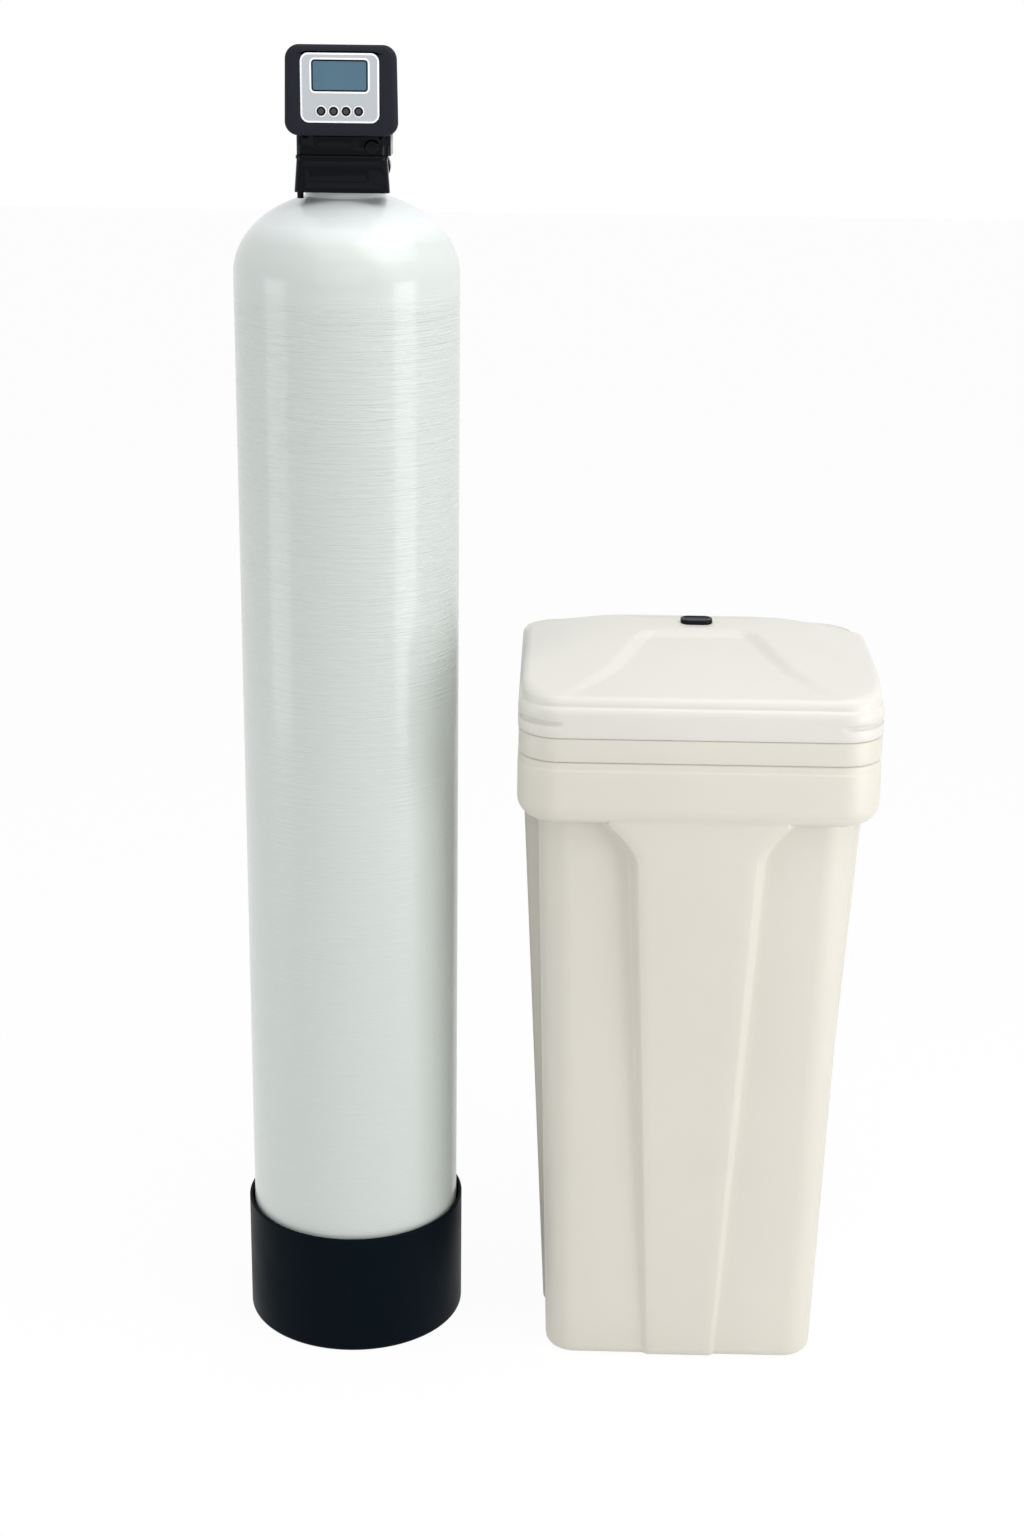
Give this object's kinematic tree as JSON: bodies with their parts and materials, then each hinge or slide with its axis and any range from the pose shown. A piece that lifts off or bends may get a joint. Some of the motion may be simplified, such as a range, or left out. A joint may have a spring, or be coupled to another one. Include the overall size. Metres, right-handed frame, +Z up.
{
  "type": "water softener",
  "caption": "Water softener: wound mineral tank in a boot with a top-mounted disc control valve, beside a square brine tank with lid, salt grid, brine well and float valve.",
  "frame": {"origin": "floor level on the mineral tank's axis, at the centre of the boot's base", "axes": "+Z up along the mineral tank, front (display and buttons) towards -Y, brine tank towards +X"},
  "size_m": [0.7564, 0.4527, 1.5678],
  "materials": {
    "tank_shell": "satin filament-wound shell",
    "black_plastic": "moulded",
    "seal_rubber": "matt",
    "boot_black": "satin",
    "white_plastic": "extruded",
    "resin_beads": "beads",
    "valve_black": "glossy moulded",
    "brass_fitting": "machined",
    "ceramic": "lapped ceramic",
    "steel_screw": "zinc plated",
    "head_charcoal": "satin",
    "panel_grey": "satin light grey",
    "display_glass": "clear window",
    "display_face": "unlit display",
    "board_green": "board",
    "motor_steel": "plated can",
    "brine_beige": "satin moulded",
    "lid_cream": "satin moulded",
    "grip_black": "satin",
    "button_black": "matt"
  },
  "bodies": {
    "root": {"pressure_tank": "tank_shell", "neck_insert": "black_plastic", "neck_o_ring": "seal_rubber", "tank_boot": "boot_black", "riser_tube": "white_plastic", "bottom_distributor": "white_plastic", "top_distributor": "white_plastic", "resin_bed": "resin_beads", "valve_base": "valve_black", "riser_o_ring": "seal_rubber", "valve_body": "valve_black", "injector_cap": "valve_black", "injector_nozzle": "brass_fitting", "brine_connector": "brass_fitting", "disc_gasket": "seal_rubber", "fixed_disc": "ceramic", "thrust_washer": "white_plastic", "bonnet": "black_plastic", "bonnet_screws": "steel_screw", "turbine_cage": "white_plastic", "head_cover": "head_charcoal", "head_housing": "head_charcoal", "head_screws": "steel_screw", "face_panel": "panel_grey", "display_window": "display_glass", "display_module": "display_face", "key_switches": "black_plastic", "circuit_board": "board_green", "board_screws": "steel_screw", "gear_plate": "black_plastic", "drive_motor": "motor_steel", "motor_screws": "steel_screw", "power_socket": "black_plastic", "brine_tank": "brine_beige", "rim_collar": "brine_beige", "salt_grid": "white_plastic", "grid_legs": "white_plastic", "brine_well": "white_plastic", "safety_valve": "white_plastic", "pickup_tube": "white_plastic", "air_check": "white_plastic", "overflow_elbow": "black_plastic", "overflow_nut": "black_plastic", "tube_grommet": "seal_rubber"},
    "lid": {"brine_lid": "lid_cream", "lid_grip": "grip_black"},
    "well_cap": {"brine_well_cap": "white_plastic"},
    "float": {"float_rod": "brass_fitting", "float_bulb": "white_plastic"},
    "check_ball_body": {"check_ball": "black_plastic"},
    "disc_stack": {"moving_disc": "ceramic", "drive_spindle": "white_plastic", "drive_gear": "white_plastic"},
    "pinion": {"motor_pinion": "white_plastic"},
    "turbine": {"flow_turbine": "white_plastic"},
    "key_1": {"button_1": "button_black"},
    "key_2": {"button_2": "button_black"},
    "key_3": {"button_3": "button_black"},
    "key_4": {"button_4": "button_black"}
  },
  "joints": [
    {"name": "lid_lift", "type": "slide", "parent": "root", "child": "lid", "axis": [0, 0, 1], "range_m": [0, 0.25]},
    {"name": "well_cap_lift", "type": "slide", "parent": "root", "child": "well_cap", "axis": [0, 0, 1], "range_m": [0, 0.04]},
    {"name": "float_rise", "type": "slide", "parent": "root", "child": "float", "axis": [0, 0, 1], "range_m": [0, 0.015]},
    {"name": "check_ball_rise", "type": "slide", "parent": "root", "child": "check_ball_body", "axis": [0, 0, 1], "range_m": [0, 0.035]},
    {"name": "disc_turn", "type": "hinge", "parent": "root", "child": "disc_stack", "pos_m": [0, 0, 1.48203], "axis": [0, 0, 1], "continuous": true},
    {"name": "pinion_spin", "type": "hinge", "parent": "root", "child": "pinion", "pos_m": [0.0375, 0, 1.48203], "axis": [0, 0, 1], "continuous": true},
    {"name": "turbine_spin", "type": "hinge", "parent": "root", "child": "turbine", "pos_m": [0.027, 0.069, 1.43003], "axis": [0, 1, 0], "continuous": true},
    {"name": "button_1_press", "type": "slide", "parent": "root", "child": "key_1", "axis": [0, 1, 0], "range_m": [0, 0.001], "stiffness_N_per_m": 600, "springref_m": -0.002},
    {"name": "button_2_press", "type": "slide", "parent": "root", "child": "key_2", "axis": [0, 1, 0], "range_m": [0, 0.001], "stiffness_N_per_m": 600, "springref_m": -0.002},
    {"name": "button_3_press", "type": "slide", "parent": "root", "child": "key_3", "axis": [0, 1, 0], "range_m": [0, 0.001], "stiffness_N_per_m": 600, "springref_m": -0.002},
    {"name": "button_4_press", "type": "slide", "parent": "root", "child": "key_4", "axis": [0, 1, 0], "range_m": [0, 0.001], "stiffness_N_per_m": 600, "springref_m": -0.002}
  ],
  "couplings": [
    {"joint": "pinion_spin", "follows": "disc_turn", "ratio": -4}
  ]
}
